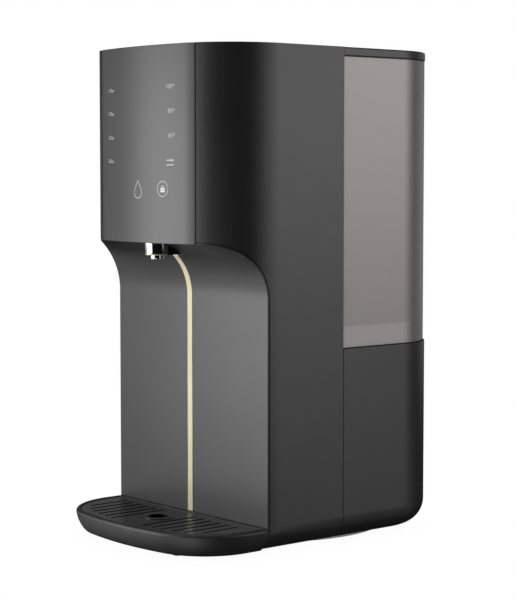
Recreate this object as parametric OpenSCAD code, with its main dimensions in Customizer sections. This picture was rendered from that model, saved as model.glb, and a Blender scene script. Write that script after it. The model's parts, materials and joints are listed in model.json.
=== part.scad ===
// Countertop reverse osmosis water filter with a lift-out rear tank and a touch panel.
// Millimetres. The front faces -Y, +Z is up, and the origin is on the counter under the middle.

/* [Body] */
// Overall width
body_w = 200; // [194:1:212]
// Overall depth, from the front of the drip tray to the rear face
body_d = 284; // [256:1:312]
// Overall height, from the counter to the top cover
body_h = 404; // [364:1:444]
// Height of the oval foot pad
foot_h = 3; // [2.5:0.5:4]
// Width of the oval foot pad
pad_w = 156; // [146:1:157]
// Length of the oval foot pad
pad_l = 180; // [160:2:184]
// Radius of the bowed front face
front_arc_r = 305; // [280:5:400]
// Radius of the four upright corners
corner_r = 58; // [54:1:62]
// Radius of the lower outside edge
bottom_r = 21; // [19:1:22]
// Wall of the moulded side panels and the rear housing
wall = 2.5; // [2:0.1:3]
// Small rounding along top edges
top_edge_r = 1.2; // [0.6:0.1:1.6]
// Visible seam between neighbouring outer panels
seam_gap = 0.6; // [0.4:0.1:1]
// Clearance between parts that seat or slide
fit = 0.3; // [0.2:0.05:0.4]
// Radial clearance of parts that turn or slide on a round seat
running = 0.1; // [0.05:0.01:0.15]

/* [Front] */
// Share of the depth by which the drip tray reaches ahead of the head
tray_share = 0.095; // [0.085:0.005:0.11]
// Share of the depth taken by the cup recess under the head
recess_share = 0.178; // [0.168:0.002:0.19]
// Height of the head's underside above the counter
head_z = 247; // [240:1:256]
// Radius of the curve between the column and the head
recess_r = 44; // [38:1:45]
// Thickness of the touch panel and the recess panel
panel_t = 2.5; // [2:0.1:3]
// Width of the touch panel
panel_w = 125; // [118:1:130]
// Gap between the recess panel's edge and the body's side
edge_gap = 0.3; // [0.2:0.1:0.8]
// Thickness of the recess panel's edge, where it laps over the side panels
lap_t = 1.2; // [0.8:0.1:1.4]
// Width of the accent strip
strip_w = 6.4; // [5:0.2:8]
// Depth to which the accent strip is sunk in its panel
strip_sink = 0.8; // [0.6:0.1:1.2]
// Height by which the accent strip stands proud
strip_proud = 0.4; // [0.2:0.1:0.8]

/* [Outlet] */
// Distance from the head's front to the outlet's axis
outlet_back = 17; // [16:0.5:20]
// Diameter of the chrome sleeve at its upper end
sleeve_top_d = 21.6; // [21:0.2:23]
// Diameter of the chrome sleeve at its rim
sleeve_rim_d = 19; // [18.6:0.2:20]
// How far the sleeve's rim hangs below the head
sleeve_drop = 10; // [8:0.5:12]
// How far the spout hangs below the sleeve's rim
spout_drop = 3.6; // [2:0.2:5]
// Outer diameter of the spout
spout_d = 10.8; // [9:0.2:12]
// Bore of the spout
spout_bore = 7; // [5:0.5:8]
// Width of the outlet block
outlet_w = 17; // [16:0.2:17.4]
// How far the outlet block runs back from the outlet's axis
outlet_run = 18; // [17.6:0.2:19]

/* [Drip tray] */
// Width of the drip tray
tray_w = 198.6; // [190:0.2:199]
// Height of the tray's top above the counter
tray_top = 23; // [22:0.5:27]
// Height of the tray's rounded lower side
tray_side_h = 16.2; // [15:0.1:16.2]
// How far the tray's lower side draws in
tray_side_in = 9; // [8:0.1:9.2]
// Radius of the tray's upper outside edge
tray_top_r = 2.6; // [1:0.2:2.6]
// Height of the tray's feet
tray_foot_h = 4.2; // [3.8:0.1:4.3]
// Thickness of the tray's floor
tray_floor_t = 1.4; // [1.2:0.1:1.4]
// Width of the tray's rim around the grille
tray_rim = 4; // [3.4:0.2:6]
// Thickness of the grille
grille_t = 2.4; // [2:0.1:3]
// Width of each slot in the grille
slot_w = 3.2; // [2.4:0.2:4]
// Spacing of the slots
slot_pitch = 11; // [10:0.5:13]
// Slots on each side of the drain hole
slots_side = 6; // [4:1:6]
// Plain border of the grille around its slots
grille_border = 7; // [6:0.5:12]
// Diameter of the drain hole, also the finger hold for lifting the grille
drain_d = 17; // [15:0.5:20]
// Width of the raised ring around the drain hole
drain_ring = 5; // [3:0.5:6]
// Distance that the tray slides out
tray_travel = 60; // [40:5:80]

/* [Tank] */
// Depth of the rear part that carries the tank
tank_d = 127; // [122:1:130]
// Height of the joint between the rear housing and the tank
deck_z = 160.5; // [155:0.5:170]
// Thickness of the rear housing's deck
deck_t = 3; // [2.5:0.1:4]
// How far the tank's wall stands inside the rear housing's outline
tank_inset = 1.3; // [1:0.1:1.6]
// Wall of the tank
tank_wall = 2.5; // [2:0.1:3]
// Height of the skirt under the tank's floor
skirt_h = 20; // [18:0.5:24]
// Thickness of the tank's floor
tank_floor_t = 3; // [2.5:0.1:4]
// How far the lid's edge stands inside the rear housing's outline
lid_inset = 0.8; // [0.4:0.1:0.9]
// Height of the lid's edge
lid_h = 6.6; // [6:0.2:9]
// Thickness of the lid's top
lid_t = 2.4; // [2:0.1:3]
// Thickness of the lid's sealing ring
gasket_t = 0.8; // [0.6:0.1:1.2]
// Depth of the locating lip under the lid
lid_lip = 8; // [6:0.5:12]
// Half width of the hand recess in the tank's rear wall
grip_half_w = 38; // [34:1:40]
// Height of the hand recess
grip_h = 32; // [28:1:36]
// Depth of the hand recess
grip_d = 22; // [18:1:26]
// Distance from the hand recess to the tank's rim
grip_drop = 12; // [8:1:16]

/* [Tank valve] */
// Distance from the tank's front wall to the valve's axis
valve_back = 60; // [50:1:70]
// Outer diameter of the valve's spigot
spigot_d = 24; // [23:0.5:26]
// Bore of the valve
valve_bore = 14; // [13:0.5:15]
// Diameter of the valve's flange on the tank floor
valve_flange_d = 36; // [33:1:40]
// How far the spigot reaches below the deck
spigot_reach = 12; // [10:0.5:14]
// Hole in the valve's seat
seat_hole = 7; // [6:0.5:8]
// Diameter of the poppet's stem
stem_d = 3.6; // [3:0.2:4]
// Travel of the poppet
poppet_travel = 4; // [3:0.5:5]
// Distance that the tank lifts
tank_travel = 60; // [40:5:80]
// Wire diameter of the poppet's spring
spring_wire = 0.8; // [0.6:0.1:1]
// Turns of the poppet's spring
spring_turns = 4; // [3:1:5]
// Diameter of the level float
float_d = 24; // [20:1:28]
// Height of the level float
float_h = 14; // [10:1:18]
// Diameter of the float's guide stem
float_stem_d = 6; // [5:0.5:7]
// Travel of the level float
float_travel = 20; // [15:1:25]

/* [Filters] */
// Clearance around a filter cartridge in its bay
cartridge_gap = 3.8; // [3.2:0.1:5]
// Space between the two cartridges
cartridge_space = 14; // [12:0.5:18]
// Space under the top cover, above the cartridges and the heater
cover_space = 38.5; // [20:0.5:60]
// Diameter of a cartridge's spigot
filter_spigot_d = 30; // [26:1:32]
// Length of a cartridge's spigot
filter_spigot_h = 22; // [18:1:24]
// Section diameter of the cartridge seals
seal_d = 2; // [1.6:0.1:2.4]
// Height of the filter manifold
manifold_h = 38; // [34:1:42]
// Depth of the filter manifold
manifold_d = 40; // [38:1:42]

/* [Inside] */
// Thickness of the base plate, the bulkhead and the other carrier plates
plate_t = 3; // [2.5:0.1:3.5]
// Thickness of the circuit boards
board_t = 1.6; // [1.2:0.2:2]
// Diameter of the pump's motor
motor_d = 56; // [50:1:58]
// Length of the pump's motor
motor_l = 60; // [50:1:62]
// Diameter of the pump head
pump_d = 60; // [56:1:62]
// Length of the pump head
pump_l = 48; // [40:1:52]
// Height of the pump's rubber mounts
mount_h = 6; // [5:0.5:8]
// Outer diameter of the water tubes
tube_d = 6.4; // [6:0.1:7]
// Bend radius of the water tubes, at the tube's middle
tube_bend = 12; // [10:1:13]
// Diameter of the heater
heater_d = 34; // [30:1:36]
// Diameter of the screws
screw_d = 3; // [2.5:0.1:3.5]

/* [Hidden] */
$fn = 96;
beyond = 400;
sliver = 0.05;
corner_steps = 20;
front_steps = 10;
round_steps = 6;

half_w = body_w / 2;
rear = body_d / 2;
tray_front = -body_d / 2;
recess_d = body_d * recess_share;
head_front = tray_front + body_d * tray_share;
column = head_front + recess_d;
seam = rear - tank_d;
tank_front = seam + seam_gap;
base_z = foot_h;
plate_z = base_z + wall;
floor_z = plate_z + plate_t;
panel_half = panel_w / 2;
arc_y = column - recess_r;
arc_z = head_z - recess_r;
bulkhead_y = seam - fit - plate_t;
outlet_y = head_front + outlet_back;
rim_z = head_z - sleeve_drop;
spout_z = rim_z - spout_drop;
head_floor_z = head_z + panel_t + fit;
head_floor_top = head_floor_z + plate_t;
cover_inset = max(wall, panel_t) + fit;
cover_z = body_h - plate_t;
tray_back = column - fit;
tray_floor = tray_foot_h + tray_floor_t;
// Share of the rounded side below the step inside the tray, and the curve's fullness
tray_step_share = 0.35;
tray_step_z = tray_foot_h + tray_side_h * tray_step_share;
tray_curve = 4 / 3;
tray_corner_r = corner_r;
grille_z = tray_top - grille_t;
tongue_x = 60;
tongue_w = 20;
tongue_h = 4;
tongue_l = 13;
tongue_z = floor_z + fit;

black = "#2b2b2d";
graphite = "#3a3a3c";
smoke = "#8f8f90aa";
champagne = "#d8c9a6";
chrome_grey = "#c9c9cc";
natural = "#e8e6de";
board_green = "#27543a";
rubber_black = "#1a1a1a";

// Foot pad and screws
pad_y = (column + rear) / 2;
pad_points = 96;
screw_head_d = 2 * screw_d;
screw_head_h = 1.6;
screw_x = panel_half + seam_gap + screw_head_d;
screw_pitch = 44;
screw_edge = 16;
screw_rows = [
    (column + seam) / 2, seam - screw_edge / 2,
    seam + screw_edge, seam + screw_edge + screw_pitch
];
screw_spots = [for (x = [-screw_x, screw_x], y = screw_rows) [x, y, 0]];

// Display
icon_d = 9;
icon_first = (body_h - head_z) / 5;
icon_pitch = (body_h - head_z) / 8;
icon_rows = 4;
icon_x = 41;
light_depth = 7.5;
light_margin = 8;
light_half_w = panel_half - light_margin;
light_low_z = head_floor_top + light_margin;
light_high_z = cover_z - light_margin;
board_y = head_front + panel_t + fit + light_depth;

// Buffer tank and heater
buffer_gap = 2;
buffer_leg_h = 22;
buffer_headroom = 12;
heater_gap = 6;
buffer_front = board_y + board_t + buffer_gap;
buffer_back = column - fit;
buffer_low_z = head_floor_top + buffer_leg_h;
buffer_high_z = cover_z - buffer_headroom;
head_corner_y = front_corner_y(body_w, head_front, front_arc_r, corner_r);
head_corner_r = corner_r - wall - buffer_gap;
buffer_half_w = half_w - corner_r + sqrt(pow(head_corner_r, 2) - pow(head_corner_y - buffer_front, 2));
heater_x = buffer_half_w - heater_d / 2;
heater_y = buffer_front + heater_d / 2;
heater_h = cover_z - cover_space - head_floor_top;
buffer_right = heater_x - heater_d / 2 - heater_gap;
buffer_w = buffer_half_w + buffer_right;
buffer_d = buffer_back - buffer_front;
buffer_h = buffer_high_z - buffer_low_z;

// Water tubes
tube_hole_d = tube_d + 2 * sliver;
tube_port_d = tube_d + 4;
tube_seat = 5;
tube_rise = 16;

// Filters
filter_bay = bulkhead_y - column - panel_t;
filter_y = bulkhead_y - filter_bay / 2;
cartridge_d = filter_bay - 2 * cartridge_gap;
cartridge_pitch = cartridge_d + cartridge_space;
filter_x = [-cartridge_pitch / 2, cartridge_pitch / 2];
manifold_top = floor_z + manifold_h;
manifold_back = filter_y + manifold_d / 2;
filter_grip_h = 16;
manifold_wall = 12.5;
cartridge_h = cover_z - cover_space - filter_grip_h - manifold_top;
port_r = filter_spigot_d / 2;
seal_z = -filter_spigot_h / 2;
low_tube_z = floor_z + 12;
pure_tube_z = buffer_low_z + tube_rise;
outlet_tube_z = buffer_low_z - buffer_gap - tube_d / 2;

// Pump, valves and mains inlet
pump_x = -pump_l / 2;
pump_back = 72;
pump_clear = 2;
pump_y = seam + pump_back;
bracket_z = floor_z + mount_h;
pump_z = bracket_z + plate_t + pump_d / 2 + pump_clear;
pump_port_edge = 12;
pump_ports = [pump_x + pump_port_edge, pump_x + pump_l - pump_port_edge];
pump_port_h = 6;
pump_port_z = pump_z + pump_d / 2 + pump_port_h;
saddle_t = 10;
saddle_x = [pump_x - motor_l + saddle_t, pump_x - 2 * saddle_t];
mount_d = 10;
mount_edge = 24;
mount_side = 8;
mount_x = [pump_x - motor_l + mount_edge, pump_x + pump_l - mount_edge];
mount_dy = motor_d / 2 - mount_side;
valve_body_w = 26;
valve_body_l = 36;
valve_body_h = 22;
valve_port_edge = 8;
coil_d = 22;
coil_h = 26;
small_valve_x = cartridge_pitch / 2;
small_valve_front = tank_front + wall + fit;
valve_port_y = small_valve_front + valve_body_l - valve_port_edge;
valve_port_z = floor_z + valve_body_h + pump_port_h;
cross_tube_z = pump_port_z + tube_rise;
feed_tube_z = cross_tube_z + 2 * tube_d;
rise_tube_y = valve_port_y - tube_d;
inlet_w = 28;
inlet_h = 20;
inlet_x = 16;
inlet_z = 34;
inlet_depth = 18;

// Tank, its valve and its float
tank_z = deck_z + seam_gap;
tank_floor_z = tank_z + skirt_h;
lid_z = body_h - lid_h;
tank_rim_z = lid_z - gasket_t;
grip_top_z = tank_rim_z - grip_drop;
valve_y = tank_front + valve_back;
spigot_low_z = deck_z - spigot_reach;
socket_wall = 5;
socket_sump = 10;
socket_stub_l = 8;
socket_d = spigot_d + 2 * socket_wall;
socket_low_z = spigot_low_z - socket_sump;
socket_seal_z = deck_z - socket_wall;
seat_t = 3;
seat_z = spigot_low_z + seat_t;
pin_top_z = spigot_low_z - fit;
cap_sink = 4;
cap_z = tank_floor_z - cap_sink;
poppet_t = 3;
poppet_z = seat_z + sliver + poppet_travel;
spring_low_z = poppet_z + poppet_t + sliver;
spring_high_z = cap_z - sliver;
spring_r = stem_d / 2 + 2 * spring_wire;
spring_steps = 12;
spring_sides = 6;
float_margin = 6;
float_x = -half_w + corner_r - 2 * float_margin;
float_y = tank_front + tank_wall + float_d / 2 + float_margin;
float_low_z = tank_floor_z + fit;

// Drip tray
tray_foot_d = 8;
tray_foot_front = [45, 29.5];
tray_foot_rear = [69, 6.5];
tray_feet_spots = [
    [tray_foot_front.x, tray_front + tray_foot_front.y, 0],
    [tray_foot_rear.x, column - tray_foot_rear.y, 0]
];
grille_inset = tray_rim + fit;
grille_back = tray_back - tray_rim - fit;

function front_corner_y(w, front, rf, rc) = front + rf - sqrt(pow(rf - rc, 2) - pow(w / 2 - rc, 2));
function front_corner_angle(w, rf, rc) = asin((w / 2 - rc) / (rf - rc));

// Quarter disc in the first quadrant
module quarter(r) {
    intersection() {
        circle(r);
        square(2 * r);
    }
}

// Half disc on the side of negative Y
module half_disc(r) {
    mirror([0, 1]) quarter(r);
    rotate(180) quarter(r);
}

// Upright section of a wall edge, with its outer corners rounded below and above
module edge_profile(reach, h, low, high) {
    translate([0, low]) square([reach, h - low - high]);
    if (low > 0) {
        square([reach - low, low]);
        translate([reach - low, low]) mirror([0, 1]) quarter(low);
    }
    if (high > 0) {
        translate([0, h - high]) square([reach - high, high]);
        translate([reach - high, h - high]) quarter(high);
    }
}

// The same section on both sides of the middle plane
module both_edges(w, h, low, high) {
    edge_profile(w / 2, h, low, high);
    mirror([1, 0]) edge_profile(w / 2, h, low, high);
}

// Draws a shape of the YZ plane through a width centred on the middle plane
module along_x(width) {
    translate([-width / 2, 0, 0]) rotate([90, 0, 90]) linear_extrude(width) children();
}

// Points of an arc about a centre, from one angle to another
function arc(centre, r, from, to, steps) =
    [for (i = [0 : steps]) let (a = from + (to - from) * i / steps) centre + r * [cos(a), sin(a)]];

// Outline with a bowed front, two round front corners and a flat back
module bow_outline(w, front, back, rf, rc) {
    cx = w / 2 - rc;
    cy = front_corner_y(w, front, rf, rc);
    a = front_corner_angle(w, rf, rc);
    polygon(concat(
        arc([cx, cy], rc, 0, a - 90, corner_steps),
        arc([0, front + rf], rf, a - 90, -90 - a, front_steps),
        arc([-cx, cy], rc, -90 - a, -180, corner_steps),
        [[-w / 2, back], [w / 2, back]]
    ));
}

// Block with a flat front and two round back corners
module round_back_block(w, front, back, rc, z_low, z_high, low = 0, high = 0) {
    h = z_high - z_low;
    cx = w / 2 - rc;
    cy = back - rc;
    translate([0, 0, z_low]) {
        translate([0, cy]) rotate([90, 0, 0]) linear_extrude(cy - front) both_edges(w, h, low, high);
        translate([cx, cy]) rotate_extrude(angle = 90) edge_profile(rc, h, low, high);
        translate([-cx, cy]) rotate(90) rotate_extrude(angle = 90) edge_profile(rc, h, low, high);
        translate([-cx, cy]) rotate([90, 0, 90]) linear_extrude(2 * cx) edge_profile(rc, h, low, high);
    }
}

// Main body's outer form, drawn in by an inset, with rounded lower side edges
module main_block(inset, z_low, z_high, low = 0, back = seam) {
    h = z_high - z_low;
    w = body_w - 2 * inset;
    if (low > 0) {
        intersection() {
            main_block(inset, z_low, z_high, 0, back);
            translate([0, beyond, z_low]) rotate([90, 0, 0]) linear_extrude(2 * beyond)
                both_edges(w, h, low, 0);
        }
    } else {
        translate([0, 0, z_low]) linear_extrude(h)
            bow_outline(w, head_front + inset, back, front_arc_r - inset, corner_r - inset);
    }
}

// Rear part's outer form, drawn in by an inset
module rear_block(inset, front, z_low, z_high, low = 0, high = 0) {
    round_back_block(body_w - 2 * inset, front, rear - inset, corner_r - inset, z_low, z_high, low, high);
}

// Slice of the drip tray's plan, drawn in by an inset
module tray_slice(inset, z_low, z_high, back) {
    translate([0, 0, z_low]) linear_extrude(z_high - z_low)
        bow_outline(tray_w - 2 * inset, tray_front + inset, back, front_arc_r - inset, tray_corner_r - inset);
}

// Drip tray's form, with a rounded lower side and upper edge
module tray_form() {
    hull() for (i = [0 : round_steps]) {
        a = 90 * i / round_steps;
        low_z = tray_foot_h + tray_side_h * (1 - pow(cos(a), tray_curve));
        high_z = tray_top - tray_top_r * (1 - cos(a));
        tray_slice(tray_side_in * (1 - pow(sin(a), tray_curve)), low_z, low_z + sliver, tray_back);
        tray_slice(tray_top_r * (1 - sin(a)), high_z - sliver, high_z, tray_back);
    }
}

// Open space of the cup recess in the YZ plane, grown by an offset
module recess_void(grow) {
    translate([column + grow - beyond, -beyond]) square([beyond, beyond + arc_z]);
    translate([arc_y - beyond, arc_z]) square([beyond, recess_r + grow]);
    translate([arc_y, arc_z]) quarter(recess_r + grow);
}

// Sheet that lines the cup recess between two offsets, in the YZ plane
module recess_band(near, deep, z_low) {
    translate([column + near, z_low]) square([deep - near, arc_z - z_low]);
    translate([arc_y, arc_z]) difference() {
        quarter(recess_r + deep);
        circle(recess_r + near);
    }
    translate([head_front, head_z + near]) square([arc_y - head_front, deep - near]);
}

// Plan of the outlet block, grown by an offset
module outlet_plan(grow) {
    translate([0, outlet_y]) {
        half_disc(outlet_w / 2 + grow);
        translate([-outlet_w / 2 - grow, 0]) square([outlet_w + 2 * grow, outlet_run + grow]);
    }
}

// Water tube along points joined by straight legs parallel to the axes
module tube(points, bend = tube_bend) {
    last = len(points) - 1;
    for (i = [0 : last - 1]) {
        d = (points[i + 1] - points[i]) / norm(points[i + 1] - points[i]);
        start = points[i] + (i > 0 ? bend : 0) * d;
        stop = points[i + 1] - (i + 1 < last ? bend : 0) * d;
        side = cross(d, [d.z, d.x, d.y]);
        multmatrix(columns(side, cross(d, side), d, start)) cylinder(d = tube_d, h = norm(stop - start));
        if (i + 1 < last) {
            e = (points[i + 2] - points[i + 1]) / norm(points[i + 2] - points[i + 1]);
            multmatrix(columns(-e, d, cross(-e, d), points[i + 1] + bend * (e - d)))
                rotate_extrude(angle = 90) translate([bend, 0]) circle(d = tube_d);
        }
    }
}

function columns(x, y, z, p) = [
    [x.x, y.x, z.x, p.x],
    [x.y, y.y, z.y, p.y],
    [x.z, y.z, z.z, p.z]
];

// Outer panels

// Side panel with its front corner and turned-in lower edge, for side 1 or -1
module side_panel(side) {
    seam_x = panel_half + seam_gap;
    difference() {
        intersection() {
            main_block(0, base_z, body_h, bottom_r);
            translate([side > 0 ? seam_x : -beyond - seam_x, -beyond, 0])
                cube([beyond, 2 * beyond, 2 * beyond]);
        }
        main_block(wall, plate_z, body_h + 1, bottom_r - wall, seam + 1);
        along_x(body_w + 2) recess_void(lap_t + seam_gap);
        screw_cuts();
    }
}

module left_side_panel() {
    color(black) side_panel(-1);
}

module right_side_panel() {
    color(black) side_panel(1);
}

// Zone that the touch panel takes from its neighbours, with a clearance
module front_panel_zone(clear) {
    difference() {
        translate([-panel_half - clear, -beyond, head_z - clear])
            cube([panel_w + 2 * clear, beyond + column, beyond]);
        main_block(panel_t + clear, 0, body_h + beyond);
    }
}

module front_panel() {
    color(graphite) intersection() {
        main_block(0, head_z, body_h);
        front_panel_zone(0);
    }
}

// Sheet that lines the cup recess, with a thin edge that laps over the side panels
module recess_panel() {
    inner = wall + fit;
    inner_z = plate_z + fit;
    color(graphite) difference() {
        union() {
            intersection() {
                along_x(body_w) recess_band(0, lap_t, base_z);
                main_block(edge_gap, base_z, body_h, bottom_r - edge_gap);
            }
            intersection() {
                along_x(body_w) recess_band(lap_t / 2, panel_t, inner_z);
                main_block(inner, inner_z, body_h, bottom_r - inner);
            }
        }
        front_panel_zone(fit);
        along_x(strip_w + 2 * sliver) recess_band(-1, strip_sink + sliver, tray_top);
        linear_extrude(beyond) outlet_plan(fit);
        for (side = [-1, 1]) translate([side * tongue_x, 0, 0]) tongue(2 * fit, recess_d);
    }
}

module accent_strip() {
    color(champagne) difference() {
        along_x(strip_w) recess_band(-strip_proud, strip_sink, tray_top + fit);
        linear_extrude(beyond) outlet_plan(2 * fit);
        translate([-strip_w, -beyond, head_z - beyond]) cube([2 * strip_w, beyond + outlet_y, 2 * beyond]);
    }
}

module top_cover() {
    notch_r = 12;
    color(black) difference() {
        main_block(cover_inset, cover_z, body_h, 0, seam - fit);
        translate([0, seam, cover_z - 1]) cylinder(r = notch_r, h = plate_t + 2);
    }
}

// Chassis

module bulkhead() {
    color(black) difference() {
        intersection() {
            main_block(wall + fit, floor_z, cover_z - fit, bottom_r - wall - fit + floor_z - plate_z);
            translate([-half_w, bulkhead_y, 0]) cube([body_w, plate_t, beyond * 2]);
        }
        for (x = concat(filter_x, pump_ports)) translate([x, bulkhead_y - 1, low_tube_z])
            rotate([-90, 0, 0]) cylinder(d = tube_d + 2 * fit, h = plate_t + 2);
    }
}

module base_plate() {
    edge = bottom_r + fit;
    color(graphite) difference() {
        round_back_block(
            body_w - 2 * edge, column + panel_t + fit, rear - edge, corner_r - edge, plate_z, floor_z);
        screw_cuts();
    }
}

module rear_housing() {
    color(black) difference() {
        rear_block(0, tank_front, base_z, deck_z, bottom_r, 0);
        rear_block(wall, tank_front - 1, plate_z, deck_z - deck_t, bottom_r - wall, 0);
        translate([0, valve_y, deck_z - deck_t - 1]) cylinder(d = socket_d + 2 * fit, h = deck_t + 2);
        translate([inlet_x - inlet_w / 2 - fit, rear - wall - 1, inlet_z - inlet_h / 2 - fit])
            cube([inlet_w + 2 * fit, wall + 2, inlet_h + 2 * fit]);
        screw_cuts();
    }
}

// Oval pad that the body stands on
module foot_pad() {
    color(rubber_black) translate([0, pad_y, 0]) linear_extrude(foot_h)
        polygon([for (i = [0 : pad_points - 1])
            let (a = 360 * i / pad_points)
            [pad_w / 2 * cos(a), pad_l / 2 * sin(a)]]);
}

module screw_cuts() {
    for (p = screw_spots) translate(p) {
        translate([0, 0, base_z - 1]) cylinder(d = screw_d + 2 * running, h = wall + plate_t + 2);
        translate([0, 0, base_z - 1]) cylinder(d = screw_head_d + 2 * running, h = screw_head_h + 1);
    }
}

module base_screws() {
    color(chrome_grey) for (p = screw_spots) translate(p) {
        translate([0, 0, base_z]) cylinder(d = screw_head_d, h = screw_head_h);
        translate([0, 0, base_z]) cylinder(d = screw_d, h = wall + plate_t);
    }
}

// Outlet and head

module outlet_block() {
    flange = 4;
    color(rubber_black) difference() {
        union() {
            translate([0, 0, rim_z]) linear_extrude(head_floor_top - rim_z) outlet_plan(0);
            translate([0, 0, head_floor_top]) linear_extrude(plate_t) outlet_plan(flange);
        }
        translate([0, outlet_y, rim_z - 1]) cylinder(d = spout_d + 2 * running, h = sleeve_drop + 1);
        translate([0, outlet_y, rim_z]) cylinder(d = spout_bore, h = head_floor_top - rim_z);
        translate([0, outlet_y, head_z]) rotate([-90, 0, 0]) cylinder(d = stem_d, h = heater_y - outlet_y);
        translate([0, heater_y, head_z]) cylinder(d = stem_d, h = beyond);
        translate([0, heater_y, head_floor_top + plate_t - tube_seat]) cylinder(d = tube_hole_d, h = beyond);
    }
}

module outlet_sleeve() {
    sleeve_h = sleeve_drop + panel_t;
    color(chrome_grey) intersection() {
        difference() {
            translate([0, outlet_y, rim_z - sliver])
                cylinder(d1 = sleeve_rim_d, d2 = sleeve_top_d, h = sleeve_h);
            translate([0, 0, rim_z - 1]) linear_extrude(beyond) outlet_plan(running);
        }
        along_x(2 * sleeve_top_d) recess_void(-fit);
    }
}

module spout() {
    color(chrome_grey) translate([0, outlet_y, spout_z]) difference() {
        cylinder(d = spout_d, h = spout_drop + sleeve_drop - sliver);
        translate([0, 0, -1]) cylinder(d = spout_bore, h = beyond);
    }
}

// Floor of the head with webs that stand on the recess panel's curve
module head_floor() {
    web_x = half_w - 24;
    web_t = 3;
    clear = panel_t + fit;
    color(graphite) difference() {
        intersection() {
            main_block(cover_inset + fit, arc_z, head_floor_top);
            union() {
                translate([-half_w, -beyond, head_floor_z]) cube([body_w, beyond + column + clear, plate_t]);
                for (side = [-1, 1]) translate([side * web_x, 0, 0]) along_x(web_t) difference() {
                    translate([arc_y, arc_z]) square([recess_r, head_floor_z - arc_z + 1]);
                    translate([arc_y, arc_z]) circle(recess_r + clear);
                    translate([column, arc_z]) square([clear, arc_z]);
                }
            }
        }
        linear_extrude(beyond) outlet_plan(fit);
    }
}

// Light tunnels between the touch panel and the display board
module light_frame() {
    color(natural) difference() {
        intersection() {
            main_block(panel_t + fit, light_low_z, light_high_z);
            translate([-light_half_w, -beyond, 0]) cube([2 * light_half_w, beyond + board_y, beyond * 2]);
        }
        for (x = [-icon_x, icon_x], i = [0 : icon_rows - 1])
            translate([x, board_y, body_h - icon_first - i * icon_pitch]) rotate([90, 0, 0])
                cylinder(d = icon_d, h = beyond);
        translate([-light_half_w + plate_t, board_y - light_depth - 1, light_low_z + plate_t])
            cube([2 * light_half_w - 2 * plate_t, light_depth + 2, icon_d * 2]);
    }
}

module display_board() {
    color(board_green) translate([-light_half_w, board_y + sliver, light_low_z])
        cube([2 * light_half_w, board_t, light_high_z - light_low_z]);
}

// Small tank that holds filtered water for the outlet
module buffer_tank() {
    leg = 8;
    color(natural) difference() {
        union() {
            translate([-buffer_half_w, buffer_front, buffer_low_z]) cube([buffer_w, buffer_d, buffer_h]);
            for (x = [-buffer_half_w, buffer_right - leg], y = [buffer_front, buffer_back - leg])
                translate([x, y, head_floor_top]) cube([leg, leg, buffer_low_z - head_floor_top + 1]);
        }
        translate([-buffer_half_w + wall, buffer_front + wall, buffer_low_z + wall])
            cube([buffer_w - 2 * wall, buffer_d - 2 * wall, buffer_h - 2 * wall]);
        translate([0, buffer_back - wall - 1, pure_tube_z]) rotate([-90, 0, 0])
            cylinder(d = tube_hole_d, h = wall + 2);
    }
}

module heater() {
    cap_h = 8;
    color(chrome_grey) difference() {
        translate([heater_x, heater_y, head_floor_top]) {
            cylinder(d = heater_d, h = cap_h);
            cylinder(d = heater_d - 4, h = heater_h);
            translate([0, 0, heater_h - cap_h]) cylinder(d = heater_d, h = cap_h);
        }
        translate([heater_x - heater_d / 2 - 1, heater_y, outlet_tube_z]) rotate([0, 90, 0])
            cylinder(d = tube_hole_d, h = tube_seat + 1);
    }
}

// Filters

module filter_manifold() {
    block_w = cartridge_pitch + filter_spigot_d + 2 * manifold_wall;
    color(graphite) difference() {
        translate([-block_w / 2, filter_y - manifold_d / 2, floor_z]) cube([block_w, manifold_d, manifold_h]);
        for (x = filter_x) translate([x, filter_y, manifold_top - filter_spigot_h - 2])
            cylinder(r = port_r + running, h = beyond);
        for (x = concat(filter_x, pump_ports)) translate([x, manifold_back - tube_seat, low_tube_z])
            rotate([-90, 0, 0]) cylinder(d = tube_hole_d, h = tube_seat + 1);
        translate([0, filter_y, manifold_top - tube_seat]) cylinder(d = tube_hole_d, h = beyond);
    }
}

// Plate that steadies the cartridges' upper ends
module filter_guide() {
    guide_z = manifold_top + cartridge_h - 30;
    guide_front = column + panel_t + fit + 1;
    color(graphite) difference() {
        main_block(wall + fit, guide_z, guide_z + plate_t, 0, bulkhead_y - fit);
        translate([-half_w, guide_front - beyond, guide_z - 1]) cube([body_w, beyond, plate_t + 2]);
        for (x = filter_x) translate([x, filter_y, guide_z - 1])
            cylinder(d = cartridge_d + 2 * fit, h = plate_t + 2);
    }
}

// Cartridge with a sealed spigot below and a grip bar on top
module cartridge(x) {
    cap_r = 6;
    grip_w = 12;
    groove_h = seal_d + 2 * sliver;
    r = cartridge_d / 2;
    translate([x, filter_y, manifold_top]) {
        difference() {
            translate([0, 0, -filter_spigot_h]) cylinder(r = port_r, h = filter_spigot_h + 1);
            translate([0, 0, seal_z - groove_h / 2]) difference() {
                cylinder(r = port_r + 1, h = groove_h);
                translate([0, 0, -1]) cylinder(r = port_r - seal_d, h = groove_h + 2);
            }
        }
        translate([0, 0, fit]) rotate_extrude() edge_profile(r, cartridge_h, cap_r, cap_r);
        translate([-r + cap_r, -grip_w / 2, cartridge_h]) cube([2 * r - 2 * cap_r, grip_w, filter_grip_h]);
    }
}

module cartridge_seal(x) {
    translate([x, filter_y, manifold_top + seal_z]) rotate_extrude()
        translate([port_r - seal_d / 2, 0]) circle(d = seal_d - sliver);
}

module carbon_cartridge() {
    color(natural) cartridge(filter_x[0]);
}

module carbon_seal() {
    color(rubber_black) cartridge_seal(filter_x[0]);
}

module membrane_cartridge() {
    color(natural) cartridge(filter_x[1]);
}

module membrane_seal() {
    color(rubber_black) cartridge_seal(filter_x[1]);
}

// Pump, valves and electrics

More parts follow.
